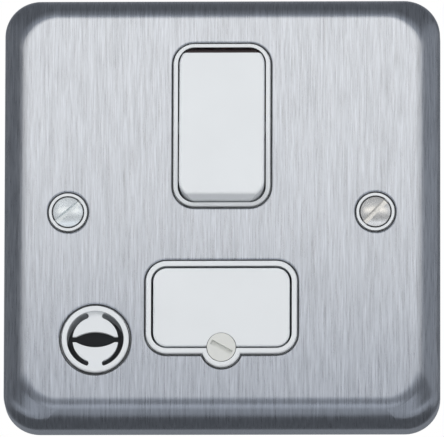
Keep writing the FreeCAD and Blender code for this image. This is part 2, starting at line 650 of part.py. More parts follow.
pocket(front_moulding, "switch_opening", rounded(SWITCH_OPENING, SWITCH_ENDS, SWITCH_CORNER),
       "0", "switch_rise", *THROUGH)
pocket(front_moulding, "switch_room", rounded(SWITCH_OPENING, CHAMBER_ENDS, SWITCH_CORNER),
       "0", "switch_rise", f"{BEZEL} - switch_lip", BEZEL)
pocket(front_moulding, "fuse_opening", rounded(FUSE_OPENING, FUSE_ENDS, "fuse_corner - fuse_rim"),
       "0", FUSE_Z, *THROUGH)
pocket(front_moulding, "lock_bore", circle(LOCK_BORE), "0", LOCK_Z, *THROUGH)
pocket(front_moulding, "flex_hole", circle("ring_diameter + ring_gap"), FLEX_X, FLEX_Z, *THROUGH)
for x, z in PILLARS:
    pocket(front_moulding, "pillar_hole", circle("pillar_diameter + 2 * pillar_gap"), x, z,
           f"{WEB_FRONT} + over_cut", "web_thickness + 2 * over_cut")
for x, z in CASE_SCREWS:
    pocket(front_moulding, "case_thread", circle("case_screw + 2 * thread_gap"), x, z, "0",
           f"{WEB_REAR} + over_cut", flip=True)
PIVOT_SPAN = f"({SWITCH_OPENING} + 2 * chamber_wall - 2 * pivot_skin)"
PIVOT_BORE = "(trunnion_diameter + 2 * pivot_gap)"
pocket(front_moulding, "pivot_slot", rectangle(PIVOT_SPAN, PIVOT_BORE), "0", "switch_rise", "0",
       "rocker_height", flip=True)
across(front_moulding, "Pocket", "pivot_bore", circle(PIVOT_BORE), "0", "switch_rise", "rocker_height",
       PIVOT_SPAN)
across(front_moulding, "Pocket", "trough", circle("2 * trough_radius"), "-saddle_left", "-saddle_drop",
       "trough_depth - saddle_depth - trough_radius", "saddle_height + 2 * over_cut", role="XY_Plane")
for side in (-1, 1):
    pocket(front_moulding, "saddle_thread", circle("clamp_screw + 2 * thread_gap"),
           f"{side} * bar_screws / 2 - saddle_left", "-saddle_drop", "-saddle_depth",
           f"saddle_depth + {WEB_REAR} + over_cut", flip=True)
COLLAR_SEAT = [
    ("0", "-over_cut"),
    ("screw_head / 2 + head_gap", "-over_cut"),
    ("screw_head / 2 + head_gap", "collar_sunk + screw_rim"),
    ("collar_bore / 2", "collar_sunk + screw_rim + screw_head / 2 + head_gap - collar_bore / 2"),
    ("collar_bore / 2", f"{COLLAR} + over_cut"),
    ("0", f"{COLLAR} + over_cut"),
]
for side in (-1, 1):
    sketch = sketch_on(front_moulding, "collar_seat", "XY_Plane", f"{side} * screw_spacing / 2",
                       f"-{COLLAR}", "0")
    polygon(COLLAR_SEAT)(sketch)
    seat = feature(front_moulding, "Groove", "collar_seat", sketch, {})
    seat.ReferenceAxis = (sketch, ["V_Axis"])
    seat.Angle = 360


# Rear moulding: the dark base behind the wall plane, with its cavities, pockets and hood

rear_moulding = new_body("rear_moulding")
pad(rear_moulding, "block", rounded("base_width", "base_top + base_bottom", "base_corner"),
    "0", "(base_top - base_bottom) / 2", FLOOR, "base_depth")
pad(rear_moulding, "upper_banks", rounded("2 * bank_reach", "bank_top - bank_foot", "base_corner"),
    "0", "(bank_top + bank_foot) / 2", FLOOR, "base_depth")
pad(rear_moulding, "lower_bank", rounded("bank_reach", "bank_top - bank_foot", "base_corner"),
    "bank_reach / 2", "-(bank_top + bank_foot) / 2", FLOOR, "base_depth")
HOOD_BOTTOM = "(flex_drop + hood_room + hood_wall)"
HOOD_LEFT = "(flex_left + hood_room + hood_wall)"
pad(rear_moulding, "hood", rounded(HOOD_LEFT, f"{HOOD_BOTTOM} - hood_top", "base_corner"),
    f"-{HOOD_LEFT} / 2", f"-({HOOD_BOTTOM} + hood_top) / 2", "-hood_depth", "hood_depth")
pocket(rear_moulding, "hood_room", rectangle(f"{HOOD_LEFT} - hood_wall - base_width / 2",
                                             f"{HOOD_BOTTOM} - hood_wall"),
       f"-({HOOD_LEFT} - hood_wall + base_width / 2) / 2", f"-({HOOD_BOTTOM} - hood_wall) / 2",
       "0", "hood_depth - hood_wall")
pocket(rear_moulding, "switch_cavity", rectangle(SWITCH_OPENING, "cavity_length"),
       "0", "switch_rise", "0", "cavity_depth")
pocket(rear_moulding, "fuse_cavity", rounded(FUSE_OPENING, FUSE_ENDS, "fuse_corner - fuse_rim"),
       "0", FUSE_Z, "0", "fuse_floor")
pad(rear_moulding, "insert_boss", circle("insert_boss"), "0", LOCK_Z, FUSE_FLOOR,
    "fuse_floor - insert_sunk")
pocket(rear_moulding, "insert_hole", circle("insert_diameter"), "0", LOCK_Z, "0",
       "insert_sunk + insert_length")

# Pockets for the terminal blocks, and channels for the strips between them and the contacts
POCKET_WIDTH = "terminal_width + 2 * seat_gap"
POCKET_HEIGHT = "terminal_height + 2 * seat_gap"
CHANNEL = "strip_width + 2 * seat_gap"
for side, x, z in CONDUCTORS[:4]:
    pocket(rear_moulding, "terminal_pocket", rectangle(POCKET_WIDTH, POCKET_HEIGHT), x, z, "0",
           "terminal_rear")
pocket(rear_moulding, "earth_pocket", rectangle(POCKET_WIDTH, f"{POCKET_HEIGHT} + earth_pitch"), OUTER,
       EARTH_MIDDLE, "0", "terminal_rear")
for side in (-1, 1):
    pocket(rear_moulding, "arm_channel", rectangle(OUTER, CHANNEL), f"{side} * {OUTER} / 2", TIP_Z, "0",
           f"strip_sheet - {ARM_TOP}")
pocket(rear_moulding, "neutral_channel", rectangle(OUTER, CHANNEL), f"-{OUTER} / 2",
       "switch_rise - strip_drop", "0", "cavity_depth")
TAB_TOP = f"({FUSE_Z} + {FUSE_ENDS} / 2 - strip_sheet)"
pocket(rear_moulding, "live_channel", rectangle(CHANNEL, f"switch_rise - {TAB_TOP} + 2 * strip_sheet"),
       POLE, f"(switch_rise + {TAB_TOP}) / 2 - strip_sheet", "0", "cavity_depth")
TAB_FOOT = f"({FUSE_Z} - strip_width / 2)"
pocket(rear_moulding, "clip_in_seat", rectangle(CHANNEL, f"{TAB_TOP} - {TAB_FOOT} + 2 * seat_gap"),
       "clip_offset", f"({TAB_TOP} + {TAB_FOOT}) / 2", "0", "fuse_floor + strip_sheet")
pocket(rear_moulding, "live_tab_seat", rectangle(f"clip_offset - {POLE} + {CHANNEL}", CHANNEL),
       f"(clip_offset + {POLE}) / 2", f"{TAB_TOP} - strip_width / 2", FUSE_FLOOR, "strip_sheet")
OUT_TOP = "(-inner_drop - terminal_height / 2)"
pocket(rear_moulding, "clip_out_seat", rectangle(CHANNEL, f"{OUT_TOP} - {TAB_FOOT} + 2 * seat_gap"),
       "-clip_offset", f"({OUT_TOP} + {TAB_FOOT}) / 2", "0", "fuse_floor + strip_sheet")

# Holes for the conductors at the sides and for the screws at the rear
for side, x, z in CONDUCTORS:
    wall = "base_width / 2" if "inner_offset" in x else "bank_reach"
    block = "inner_offset" if "inner_offset" in x else OUTER
    across(rear_moulding, "Pocket", "conductor_window", circle("conductor_window"), f"{side} * {wall}", z,
           "-conductor_depth", f"2 * ({wall} - {block} - terminal_width / 2 + 2 * seat_gap)")
    pocket(rear_moulding, "screw_access", circle("clamp_access"), x, z, FLOOR,
           "base_depth - terminal_rear", flip=True)
for x, z in CASE_SCREWS:
    pocket(rear_moulding, "case_hole", circle("case_screw + 2 * thread_gap"), x, z, FLOOR,
           "base_depth + over_cut", flip=True)
    pocket(rear_moulding, "case_recess", circle("clamp_access"), x, z, FLOOR, "case_sunk", flip=True)
PIVOT_WALL = f"({SWITCH_OPENING} + chamber_wall)"
for side in (-1, 1):
    pad(rear_moulding, "pivot_cradle", rectangle("chamber_wall - 2 * seat_gap", "trunnion_diameter"),
        f"{side} * {PIVOT_WALL} / 2", "switch_rise", "0",
        "rocker_height - trunnion_diameter / 2 - pivot_gap")
STOP_FOOT = f"({CAVITY} + strip_sheet)"
STOP_TOP = f"({BLADE_PIVOT} - blade_length / 2 * sin(blade_tilt * 1 deg) - stop_gap)"
pad(rear_moulding, "blade_stop", rectangle(SWITCH_OPENING, "tip_diameter"), "0",
    "switch_rise - blade_reach", STOP_FOOT, f"{STOP_TOP} - {STOP_FOOT}")


# Rocker: a hollow moulding whose ends are arcs about its pivot, modelled level and then tilted to OFF

rocker = new_body("rocker")
ROCKER_WIDTH = f"({SWITCH_OPENING} - 2 * rocker_side_gap)"
ROCKER_TOP = "(rocker_crown + rocker_dish)"
pad(rocker, "rocker_block", rounded(ROCKER_WIDTH, "2 * rocker_swing", "rocker_corner"), "0", "0",
    "-rocker_skirt", f"rocker_skirt + {ROCKER_TOP}")
AROUND = "2 * (rocker_swing + over_cut)"
PAST_SIDES = f"{ROCKER_WIDTH} + 2 * over_cut"
across(rocker, "Pocket", "rocker_ends", both(circle("2 * rocker_swing"), rectangle(AROUND, AROUND)),
       "0", "0", "0", PAST_SIDES)
DISH_RADIUS = dome_radius("rocker_swing", "rocker_dish")
dished = across(rocker, "Pocket", "rocker_face", circle(f"2 * {DISH_RADIUS}"), "0", "0",
                f"rocker_crown + {DISH_RADIUS}", PAST_SIDES)
face_level = -number("rocker_crown - rocker_dish")
face_edges = edges_where(dished, lambda box: box.YMax < face_level)
fillet(rocker, "rocker_edges", dished, face_edges, "rocker_roll")
pocket(rocker, "rocker_hollow", rounded(f"{ROCKER_WIDTH} - 2 * rocker_wall",
                                        "2 * rocker_swing - 2 * rocker_wall",
                                        "rocker_corner - rocker_wall / 2"),
       "0", "0", "-rocker_skirt", "rocker_skirt + tube_roof", flip=True)
across(rocker, "Pad", "pivot_pins", circle("trunnion_diameter"), "0", "0", "0",
       f"{ROCKER_WIDTH} + 2 * trunnion_length")
for side in (-1, 1):
    pad(rocker, "plunger_guide", circle("tube_diameter"), f"{side} * {POLE}", "0", "-tube_reach",
        "tube_reach + tube_roof")
for side in (-1, 1):
    pocket(rocker, "plunger_bore", circle("plunger_diameter + 2 * plunger_gap"), f"{side} * {POLE}", "0",
           "-tube_reach", "tube_reach + tube_roof", flip=True)
place(rocker, "0", "rocker_height", "switch_rise", "-rocker_tilt")


# Plungers, their springs and the see-saw contacts, one set for each pole

PLUNGER = [
    ("0", "-plunger_reach"),
    ("plunger_nose / 2", "-plunger_reach"),
    ("plunger_diameter / 2", "plunger_tip - plunger_reach"),
    ("plunger_diameter / 2", "plunger_length - plunger_reach"),
    ("0", "plunger_length - plunger_reach"),
]
SPRING_RADIUS = "(plunger_diameter - spring_wire) / 2"
SPRING_FOOT = "(plunger_length - plunger_reach + spring_wire / 2 + thread_gap)"
WIRE_SIDE = "spring_wire / 4"
WIRE_RISE = "spring_wire / 2 * cos(30 * 1 deg)"
WIRE = [
    ("spring_wire / 2", "0"),
    (WIRE_SIDE, WIRE_RISE),
    (f"-{WIRE_SIDE}", WIRE_RISE),
    ("-spring_wire / 2", "0"),
    (f"-{WIRE_SIDE}", f"-{WIRE_RISE}"),
    (WIRE_SIDE, f"-{WIRE_RISE}"),
]


def spring(label):
    """A coil of six-sided wire from the plunger's top to the roof of its bore."""
    body = new_body(label)
    sketch = sketch_on(body, label, "XZ_Plane", SPRING_RADIUS, SPRING_FOOT, "0")
    polygon(WIRE)(sketch)
    coil = body.newObject("PartDesign::AdditiveHelix", label + "_coil")
    coil.Profile = sketch
    coil.ReferenceAxis = (origin_part(body, "Z_Axis"), [""])
    coil.Mode = "height-turns-angle"
    bind(coil, {
        "Height": f"tube_roof - {SPRING_FOOT} - spring_wire / 2 - thread_gap",
        "Turns": "spring_turns",
    })
    body.Tip = coil
    return body


def see_saw(name, x):
    """A contact blade on its knuckle, with a silver tip under its upper end."""
    blade = new_body("moving_contact_" + name)
    pad(blade, "blade", rectangle("blade_width", "blade_length"), "0", "0", "0", "blade_thickness")
    across(blade, "Pad", "knuckle", circle("knuckle_diameter"), "0", "0", "0", "strip_width")
    tip = new_body("moving_tip_" + name)
    pad(tip, "tip", circle("tip_diameter"), "0", "blade_reach", "-tip_height", "tip_height")
    for body in (blade, tip):
        place(body, x, BLADE_PIVOT, "switch_rise", "blade_tilt")


for name, x in (("live", POLE), ("neutral", f"-{POLE}")):
    plunger = turned("plunger_" + name, PLUNGER)
    coil = spring("plunger_spring_" + name)
    for body in (plunger, coil):
        place(body, x, "rocker_height", "switch_rise", "90 - rocker_tilt")
    see_saw(name, x)


# Brass: terminal blocks, strips, pivot posts and fuse clips

def block(body, x, z, height, holes):
    """A terminal block with a conductor hole along X and a screw hole behind each."""
    pad(body, "block", rectangle("terminal_width", height), x, z, "-terminal_rear",
        "terminal_rear - terminal_front")
    for level in holes:
        across(body, "Pocket", "conductor_hole", circle("conductor_bore"), x, level, "-conductor_depth",
               "terminal_width + over_cut")
        pocket(body, "screw_hole", circle("clamp_screw + 2 * thread_gap"), x, level, "-terminal_rear",
               "terminal_rear - conductor_depth", flip=True)


def pivot_post(body, x):
    """A post with a groove for a blade's knuckle."""
    pad(body, "post", rectangle("strip_width", "post_depth"), x, "switch_rise", CAVITY,
        f"cavity_depth + {BLADE_PIVOT} - post_drop")
    across(body, "Pocket", "groove", circle("knuckle_diameter + 2 * knuckle_gap"), x, "switch_rise",
           BLADE_PIVOT, "2 * strip_width")


ARM_LENGTH = f"({OUTER} - terminal_width / 2 - {POLE} + strip_width / 2)"
ARM_MIDDLE = f"(({OUTER} - terminal_width / 2 + {POLE} - strip_width / 2) / 2)"
for name, side in (("live", 1), ("neutral", -1)):
    terminal = new_body("terminal_supply_" + name)
    block(terminal, f"{side} * {OUTER}", TIP_Z, "terminal_height", [TIP_Z])
    pad(terminal, "arm", rectangle(ARM_LENGTH, "strip_width"), f"{side} * {ARM_MIDDLE}", TIP_Z,
        f"{ARM_TOP} - strip_sheet", "strip_sheet")
    fixed_tip = new_body("fixed_tip_" + name)
    pad(fixed_tip, "tip", circle("tip_diameter"), f"{side} * {POLE}", TIP_Z, ARM_TOP, "tip_height")

load_neutral = new_body("terminal_load_neutral")
block(load_neutral, f"-{OUTER}", "neutral_rise", "terminal_height", ["neutral_rise"])
pad(load_neutral, "strip", rectangle(ARM_LENGTH, "strip_width"), f"-{ARM_MIDDLE}",
    "switch_rise - strip_drop", CAVITY, "strip_sheet")
pivot_post(load_neutral, f"-{POLE}")

live_link = new_body("live_link")
pivot_post(live_link, POLE)
pad(live_link, "strip", rectangle("strip_width", f"switch_rise - {TAB_TOP} + strip_sheet"), POLE,
    f"(switch_rise + {TAB_TOP} - strip_sheet) / 2", CAVITY, "strip_sheet")
TAB_LEVEL = f"({FUSE_FLOOR} - strip_sheet)"
pad(live_link, "riser", rectangle("strip_width", "strip_sheet"), POLE, f"{TAB_TOP} - strip_sheet / 2",
    CAVITY, "cavity_depth - fuse_floor")
pad(live_link, "cross_tab", rectangle(f"clip_offset - {POLE} + strip_width", "strip_width"),
    f"(clip_offset + {POLE}) / 2", f"{TAB_TOP} - strip_width / 2", TAB_LEVEL, "strip_sheet")
pad(live_link, "clip_tab", rectangle("strip_width", f"{TAB_TOP} - {TAB_FOOT}"), "clip_offset",
    f"({TAB_TOP} + {TAB_FOOT}) / 2", TAB_LEVEL, "strip_sheet")

load_live = new_body("terminal_load_live")
block(load_live, "-inner_offset", "-inner_drop", "terminal_height", ["-inner_drop"])
pad(load_live, "clip_tab", rectangle("strip_width", f"{OUT_TOP} - {TAB_FOOT}"), "-clip_offset",
    f"({OUT_TOP} + {TAB_FOOT}) / 2", TAB_LEVEL, "strip_sheet")

FUSE_SEAT = "(fuse_diameter + 2 * fuse_gap)"
CLIP_HEIGHT = f"(fuse_floor + {FUSE_AXIS} + clip_reach)"
for name, side in (("in", 1), ("out", -1)):
    clip = new_body("fuse_clip_" + name)
    pad(clip, "cradle", rectangle("clip_width", f"{FUSE_SEAT} + 2 * clip_sheet"), f"{side} * clip_offset",
        FUSE_Z, FUSE_FLOOR, CLIP_HEIGHT)
    pocket(clip, "gap", rectangle("clip_width + over_cut", FUSE_SEAT), f"{side} * clip_offset", FUSE_Z,
           f"{FUSE_AXIS} + clip_reach", f"{CLIP_HEIGHT} - clip_sheet")

LEG_Z = "(-earth_drop - earth_pitch)"
earth = new_body("terminal_earth")
block(earth, OUTER, EARTH_MIDDLE, "terminal_height + earth_pitch", ["-earth_drop", LEG_Z])

STRAP_FOOT = "(-pillar_rise - strap_width / 2)"
strap = new_body("earth_strap")
pad(strap, "ring_end", rectangle(f"{OUTER} - pillar_side + strap_width", "strap_width"),
    f"({OUTER} + pillar_side) / 2", "-pillar_rise", f"{WEB_REAR} - strap_sheet", "strap_sheet")
pad(strap, "run", rectangle("strap_width", f"{LEG_Z} - {STRAP_FOOT}"), OUTER,
    f"({LEG_Z} + {STRAP_FOOT}) / 2", f"{WEB_REAR} - strap_sheet", "strap_sheet")
pad(strap, "leg", rectangle("strap_width", "strap_sheet"), OUTER, f"{LEG_Z} - strap_sheet / 2",
    "-terminal_front", f"terminal_front + {WEB_REAR}")
pocket(strap, "screw_hole", circle("case_screw + 2 * head_gap"), "pillar_side", "-pillar_rise",
       WEB_REAR, "strap_sheet + over_cut")


# Fuse drawer: a face with a skirt, jaws that hold the fuse, and a lug for the captive screw

carrier = new_body("fuse_carrier")
DRAWER_WIDTH = f"({FUSE_OPENING} - 2 * drawer_gap)"
DRAWER_HEIGHT = f"({FUSE_ENDS} - 2 * drawer_gap)"
DRAWER_TOP = f"({BEZEL} - drawer_sunk)"
DRAWER_CORNER = "(fuse_corner - fuse_rim - drawer_gap)"
SKIRT = f"({DRAWER_TOP} - drawer_face - drawer_skirt)"
drawer = pad(carrier, "drawer", rounded(DRAWER_WIDTH, DRAWER_HEIGHT, DRAWER_CORNER), "0", FUSE_Z,
             SKIRT, "drawer_face + drawer_skirt")
fillet(carrier, "drawer_edges", drawer, edges_where(drawer, at_height(DRAWER_TOP)), "bezel_roll")
pocket(carrier, "drawer_hollow", rounded(f"{DRAWER_WIDTH} - 2 * drawer_wall",
                                         f"{DRAWER_HEIGHT} - 2 * drawer_wall",
                                         f"{DRAWER_CORNER} - drawer_wall"),
       "0", FUSE_Z, SKIRT, "drawer_skirt", flip=True)
JAW_FOOT = f"({FUSE_AXIS} - jaw_lip)"
pad(carrier, "jaws", rectangle("jaw_length", f"{FUSE_SEAT} + 2 * jaw_thickness"), "0", FUSE_Z,
    JAW_FOOT, f"{DRAWER_TOP} - drawer_face / 2 - {JAW_FOOT}")
across(carrier, "Pocket", "fuse_seat", circle(FUSE_SEAT), "0", FUSE_Z, FUSE_AXIS, "jaw_length + over_cut")
pocket(carrier, "jaw_mouth", rectangle("jaw_length + over_cut", "jaw_mouth"), "0", FUSE_Z, JAW_FOOT,
       "jaw_lip", flip=True)
pad(carrier, "lug", circle(f"{LOCK_BORE} - 2 * drawer_gap"), "0", LOCK_Z, f"{LOCK_SEAT} - lug_height",
    "lug_height")
pocket(carrier, "retainer_room", circle("retainer_diameter + 2 * drawer_gap"), "0", LOCK_Z, SKIRT,
       f"{LOCK_SEAT} - lug_height - {SKIRT}", flip=True)
pocket(carrier, "head_recess", circle(LOCK_BORE), "0", LOCK_Z, f"{BEZEL} + over_cut",
       "lock_head_height + over_cut")
pocket(carrier, "screw_way", circle("lock_diameter + 2 * head_gap"), "0", LOCK_Z,
       f"{LOCK_SEAT} + over_cut", "lug_height + 2 * over_cut")

LUG_FOOT = f"({LOCK_SEAT} - lug_height - retainer_play)"
LOCK_SCREW = [
    ("0", f"{LOCK_SEAT} - lock_length"),
    ("lock_diameter / 2", f"{LOCK_SEAT} - lock_length"),
    ("lock_diameter / 2", f"{LUG_FOOT} - retainer_thickness - thread_gap"),
    ("lock_neck / 2", f"{LUG_FOOT} - retainer_thickness - thread_gap"),
    ("lock_neck / 2", LUG_FOOT),
    ("lock_diameter / 2", LUG_FOOT),
    ("lock_diameter / 2", LOCK_SEAT),
    ("lock_head / 2", LOCK_SEAT),
    ("lock_head / 2", f"{LOCK_SEAT} + lock_head_height"),
    ("0", f"{LOCK_SEAT} + lock_head_height"),
]


def slot(body, name, draw, top, depth, angle):
    """A screwdriver slot in the head of a turned screw."""
    sketch = sketch_on(body, name, "XY_Plane", "0", "0", top, turn=angle)
    draw(sketch)
    feature(body, "Pocket", name, sketch, {"Length": depth})


carrier_screw = turned("carrier_screw", LOCK_SCREW)
slot(carrier_screw, "lock_slot", rectangle("lock_slot_length", "lock_slot_width"), BEZEL,
     "lock_slot_depth", "lock_angle")
place(carrier_screw, "0", "0", LOCK_Z, "90")
retainer = new_body("screw_retainer")
pad(retainer, "retainer", circle("retainer_diameter"), "0", LOCK_Z, f"{LUG_FOOT} - retainer_thickness",
    "retainer_thickness")
pocket(retainer, "retainer_hole", circle("lock_neck + 2 * thread_gap"), "0", LOCK_Z, LUG_FOOT,
       "retainer_thickness + over_cut")
pocket(retainer, "mouth", rectangle("retainer_mouth", "retainer_diameter"), "0",
       f"{LOCK_Z} - retainer_diameter / 2", LUG_FOOT, "retainer_thickness + over_cut")
insert = new_body("screw_insert")
pad(insert, "insert", circle("insert_diameter"), "0", LOCK_Z, "-insert_sunk - insert_length",
    "insert_length")
pocket(insert, "insert_bore", circle("lock_diameter + 2 * thread_gap"), "0", LOCK_Z, "-insert_sunk",
       "insert_length + over_cut")

# Cartridge fuse, across the drawer
CAP_BORE = "(fuse_diameter - 2 * fuse_cap_wall)"
TUBE = [
    ("0", "fuse_cap_wall - fuse_length / 2"),
    (f"{CAP_BORE} / 2", "fuse_cap_wall - fuse_length / 2"),
    (f"{CAP_BORE} / 2", "fuse_length / 2 - fuse_cap_wall"),
    ("0", "fuse_length / 2 - fuse_cap_wall"),
]
CAP = [
    ("0", "fuse_length / 2 - fuse_cap_wall"),
    (f"{CAP_BORE} / 2", "fuse_length / 2 - fuse_cap_wall"),
    (f"{CAP_BORE} / 2", "fuse_length / 2 - fuse_cap"),
    ("fuse_diameter / 2", "fuse_length / 2 - fuse_cap"),
    ("fuse_diameter / 2", "fuse_length / 2"),
    ("0", "fuse_length / 2"),
]


def lie_along_x(body, side):
    quarter_turn = FreeCAD.Rotation(FreeCAD.Vector(0, 1, 0), side * 90)
    body.Placement = FreeCAD.Placement(FreeCAD.Vector(), quarter_turn)
    bind(body, {"Placement.Base.y": f"-({FUSE_AXIS})", "Placement.Base.z": FUSE_Z})


lie_along_x(turned("fuse_tube", TUBE), 1)
caps = [turned(f"fuse_cap_{name}", CAP, kept=False) for name in ("in", "out")]
lie_along_x(caps[0], 1)
lie_along_x(caps[1], -1)
group("fuse_caps", caps)


# Flex outlet: a ring with a slit diaphragm, held behind the web by its flange

outlet = new_body("flex_outlet")
RING_FOOT = f"({WEB_REAR} - ring_reach)"
RING_BORE = "(ring_diameter - 2 * ring_wall)"
FLAPS = f"({BEZEL} - flap_sunk)"
ring = pad(outlet, "ring", circle("ring_diameter"), FLEX_X, FLEX_Z, RING_FOOT, f"{BEZEL} - {RING_FOOT}")
fillet(outlet, "ring_edge", ring, edges_where(ring, at_height(BEZEL)), "bezel_roll")
pad(outlet, "flange", circle("ring_flange"), FLEX_X, FLEX_Z, f"{WEB_REAR} - ring_wall", "ring_wall")
pocket(outlet, "recess", circle(RING_BORE), FLEX_X, FLEX_Z, BEZEL, "flap_sunk")
pocket(outlet, "throat", circle(RING_BORE), FLEX_X, FLEX_Z, RING_FOOT,
       f"{FLAPS} - flap_thickness - {RING_FOOT}", flip=True)
pocket(outlet, "slit", lens("lens_width", "lens_height", "lens_neck"), FLEX_X, FLEX_Z, FLAPS,
       "flap_thickness")
pocket(outlet, "necks", rectangle(f"{RING_BORE} - flap_slot", "lens_neck"), FLEX_X, FLEX_Z, FLAPS,
       "flap_thickness")
for turn in ("0", "180"):
    sketch = sketch_on(outlet, "round_slot", "XZ_Plane", FLEX_X, FLEX_Z, FLAPS, turn=turn)
    round_slot(f"{RING_BORE} / 2", "flap_slot", "flap_bridge")(sketch)
    feature(outlet, "Pocket", "round_slot", sketch, {"Length": "flap_thickness"})

# Cord clamp: a bar on two screws, behind the saddle
BAR_FRONT = "(-saddle_depth - bar_gap)"
BAR_REAR = f"({BAR_FRONT} - bar_thickness)"
bar = new_body("cord_clamp")
pad(bar, "bar", rounded("saddle_length", "saddle_height", "saddle_height / 2 - seat_gap"),
    "-saddle_left", "-saddle_drop", BAR_REAR, "bar_thickness")
pad(bar, "rib", rectangle("bar_screws - clamp_head", "rib_width"), "-saddle_left", "-saddle_drop",
    BAR_FRONT, "bar_rib")
BAR_SCREWS = [f"{side} * bar_screws / 2 - saddle_left" for side in (-1, 1)]
for x in BAR_SCREWS:
    pocket(bar, "bar_hole", circle("clamp_screw + 2 * head_gap"), x, "-saddle_drop", BAR_FRONT,
           "bar_thickness + over_cut")


# Fasteners

FIXING_RIM = f"({COLLAR} - collar_sunk)"
FIXING_CONE = f"({FIXING_RIM} - screw_rim - (screw_head - screw_neck) / 2)"
FIXING_SCREW = [
    ("0", f"{FIXING_CONE} - screw_length"),
    ("screw_diameter / 2", f"{FIXING_CONE} - screw_length"),
    ("screw_diameter / 2", "neck_foot"),
    ("screw_neck / 2", "neck_foot"),
    ("screw_neck / 2", FIXING_CONE),
    ("screw_head / 2", f"{FIXING_RIM} - screw_rim"),
    ("screw_head / 2", FIXING_RIM),
    ("0", f"{FIXING_RIM} + screw_dome"),
]
for name, side in (("left", -1), ("right", 1)):
    screw = turned("fixing_screw_" + name, FIXING_SCREW, dome="screw_dome")
    slot(screw, "fixing_slot", rectangle("screw_head + over_cut", "screw_slot"),
         f"{FIXING_RIM} + screw_dome", "screw_slot_depth", "screw_angle_" + name)
    place(screw, f"{side} * screw_spacing / 2", "0", "0", "90")


def rear_screw(label, x, z, seat, thread, reach, head, head_height):
    """A slotted screw driven from the rear, whose head bears at the seat's height."""
    body = turned(label, [
        ("0", f"-({reach})"),
        (f"{thread} / 2", f"-({reach})"),
        (f"{thread} / 2", "0"),
        (f"{head} / 2", "0"),
        (f"{head} / 2", head_height),
        ("0", head_height),
    ], kept=False)
    slot(body, label + "_slot", rectangle(f"{head} + over_cut", "rear_slot"), head_height,
         f"{head_height} / 2", "rear_slot_angle")
    place(body, x, seat, z, "-90")
    return body


group("terminal_screws", [
    rear_screw("terminal_screw", x, z, "-terminal_rear", "clamp_screw",
               "terminal_rear - conductor_depth - conductor_bore / 2", "clamp_head", "clamp_head_height")
    for side, x, z in CONDUCTORS])
group("clamp_screws", [
    rear_screw("clamp_screw", x, "-saddle_drop", BAR_REAR, "clamp_screw",
               "bar_thickness + bar_gap + bar_grip", "clamp_head", "clamp_head_height")
    for x in BAR_SCREWS])
group("case_screws", [
    rear_screw("case_screw", x, z, "case_sunk - base_depth", "case_screw",
               "base_depth - case_sunk + case_reach", "case_head", "case_head_height")
    for x, z in CASE_SCREWS])
STRAP_PILLAR = ("1 * pillar_side", "-pillar_rise")
group("plate_screws", [
    rear_screw("plate_screw", x, z, f"{WEB_REAR} - strap_sheet" if (x, z) == STRAP_PILLAR else WEB_REAR,
               "case_screw", "pillar_length", "washer_head", "washer_height")
    for x, z in PILLARS])


# Check every object, then write each piece under its own name

doc.recompute()
for item in doc.Objects:
    if {"Invalid", "Error"} & set(item.State):
        raise RuntimeError(f"{item.Name} failed")
for node in NODES:
    if node.Shape.isNull() or not node.Shape.isValid():
        raise RuntimeError(f"{node.Label} has no valid shape")
os.makedirs("parts", exist_ok=True)
for node in NODES:
    node.Shape.exportStep(f"parts/{node.Label}.step")
print(len(NODES), "nodes")
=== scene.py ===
import json
import math
import bpy
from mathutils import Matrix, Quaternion, Vector

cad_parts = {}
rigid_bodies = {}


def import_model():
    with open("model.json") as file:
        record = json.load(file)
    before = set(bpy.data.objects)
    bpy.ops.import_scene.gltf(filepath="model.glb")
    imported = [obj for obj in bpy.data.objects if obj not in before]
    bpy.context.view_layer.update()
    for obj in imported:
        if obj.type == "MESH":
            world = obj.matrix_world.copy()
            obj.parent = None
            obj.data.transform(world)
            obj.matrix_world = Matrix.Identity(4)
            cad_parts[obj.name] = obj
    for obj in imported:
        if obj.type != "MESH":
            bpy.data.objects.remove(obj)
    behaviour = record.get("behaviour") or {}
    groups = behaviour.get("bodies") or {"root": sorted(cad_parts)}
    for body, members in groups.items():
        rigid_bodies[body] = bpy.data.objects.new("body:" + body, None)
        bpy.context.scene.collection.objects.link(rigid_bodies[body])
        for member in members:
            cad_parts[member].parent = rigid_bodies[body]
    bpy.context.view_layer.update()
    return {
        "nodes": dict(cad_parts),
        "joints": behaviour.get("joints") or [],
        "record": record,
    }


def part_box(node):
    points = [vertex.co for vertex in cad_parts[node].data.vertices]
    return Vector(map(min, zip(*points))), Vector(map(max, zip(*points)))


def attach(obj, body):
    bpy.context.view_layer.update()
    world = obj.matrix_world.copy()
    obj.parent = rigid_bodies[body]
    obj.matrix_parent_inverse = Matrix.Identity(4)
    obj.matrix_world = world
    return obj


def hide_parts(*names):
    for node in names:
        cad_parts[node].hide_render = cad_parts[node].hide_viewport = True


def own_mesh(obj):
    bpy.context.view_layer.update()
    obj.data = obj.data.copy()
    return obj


# A switched fused spur unit with a front flex outlet, in metres. The room lies at -Y.

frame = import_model()
nodes = frame["nodes"]

MILLIMETRE = 0.001
MICROMETRE = 0.000001
BLACK = (0, 0, 0)

# Noise seldom leaves this range
NOISE_LOW = 0.3
NOISE_HIGH = 0.7


# Node graphs

